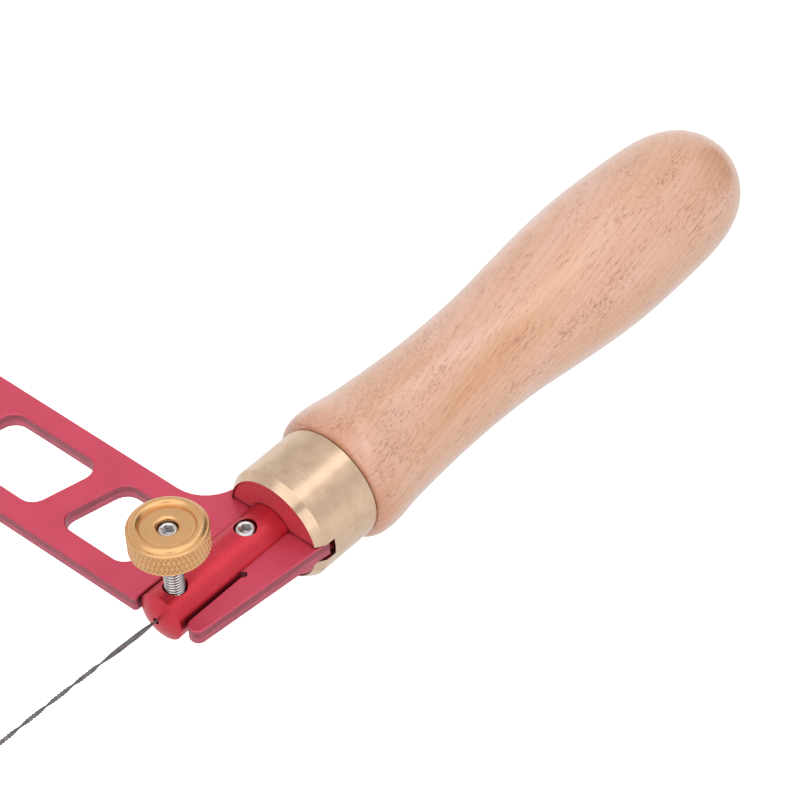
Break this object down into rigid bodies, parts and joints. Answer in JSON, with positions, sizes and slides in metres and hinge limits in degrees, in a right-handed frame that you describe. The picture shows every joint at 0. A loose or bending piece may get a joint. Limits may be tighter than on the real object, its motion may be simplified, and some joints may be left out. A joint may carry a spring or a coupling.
{
  "type": "jeweler saw frame",
  "caption": "Jeweler's saw frame: red pierced C-plate, wooden handle, thumb-screw blade clamps, spiral blade and a screw tensioner on the far arm.",
  "frame": {"origin": "middle of the underside of the bounding box of the saw lying on its side", "axes": "+X along the blade from the tension knob towards the handle, +Y from the blade towards the spine, +Z square to the plate, on the side of the thumb screws"},
  "size_m": [0.3536, 0.1728, 0.0424],
  "materials": {
    "red_plate": "red anodised, fine satin",
    "red_anodised": "red anodised, satin",
    "gold_anodised": "gold anodised, turned and knurled",
    "brass": "turned, lightly tarnished",
    "steel": "bright, machined",
    "spring_steel": "dark, hardened",
    "beech": "clear gloss varnish"
  },
  "bodies": {
    "frame": {"frame_plate": "red_plate", "ferrule": "brass", "collar": "red_anodised", "tang_pin": "steel", "handle": "beech", "handle_insert": "brass", "handle_stud": "steel", "near_barrel": "red_anodised", "near_set_screw": "steel", "blade": "spring_steel", "tension_housing": "red_anodised", "housing_screw_1": "steel", "housing_screw_2": "steel", "guide_screw": "steel", "thrust_washer": "steel"},
    "near_pad": {"near_pressure_pad": "brass"},
    "near_screw": {"near_thumb_stud": "steel", "near_thumb_knob": "gold_anodised"},
    "far_clamp": {"far_barrel": "red_anodised", "draw_rod": "steel", "rod_pin": "steel"},
    "far_pad": {"far_pressure_pad": "brass"},
    "far_screw": {"far_thumb_stud": "steel", "far_thumb_knob": "gold_anodised"},
    "tension_nut": {"tension_knob": "gold_anodised"}
  },
  "joints": [
    {"name": "near_pad_lift", "type": "slide", "parent": "frame", "child": "near_pad", "axis": [0, 0, 1], "range_m": [0, 0.0015]},
    {"name": "near_screw_turn", "type": "hinge", "parent": "near_pad", "child": "near_screw", "pos_m": [-0.0074, -0.06807, 0.03585], "axis": [0, 0, 1], "range_deg": [0, 675]},
    {"name": "far_pad_lift", "type": "slide", "parent": "far_clamp", "child": "far_pad", "axis": [0, 0, 1], "range_m": [0, 0.0015]},
    {"name": "far_screw_turn", "type": "hinge", "parent": "far_pad", "child": "far_screw", "pos_m": [-0.133, -0.06807, 0.03585], "axis": [0, 0, 1], "range_deg": [0, 675]},
    {"name": "far_clamp_slide", "type": "slide", "parent": "frame", "child": "far_clamp", "axis": [1, 0, 0], "range_m": [0, 0.004]},
    {"name": "tension_knob_turn", "type": "hinge", "parent": "frame", "child": "tension_nut", "pos_m": [-0.1712, -0.06807, 0.01725], "axis": [-1, 0, 0], "range_deg": [0, 1800]}
  ],
  "couplings": [
    {"joint": "near_screw_turn", "follows": "near_pad_lift", "rad_per_m": 7854},
    {"joint": "far_screw_turn", "follows": "far_pad_lift", "rad_per_m": 7854},
    {"joint": "tension_knob_turn", "follows": "far_clamp_slide", "rad_per_m": 7854}
  ]
}
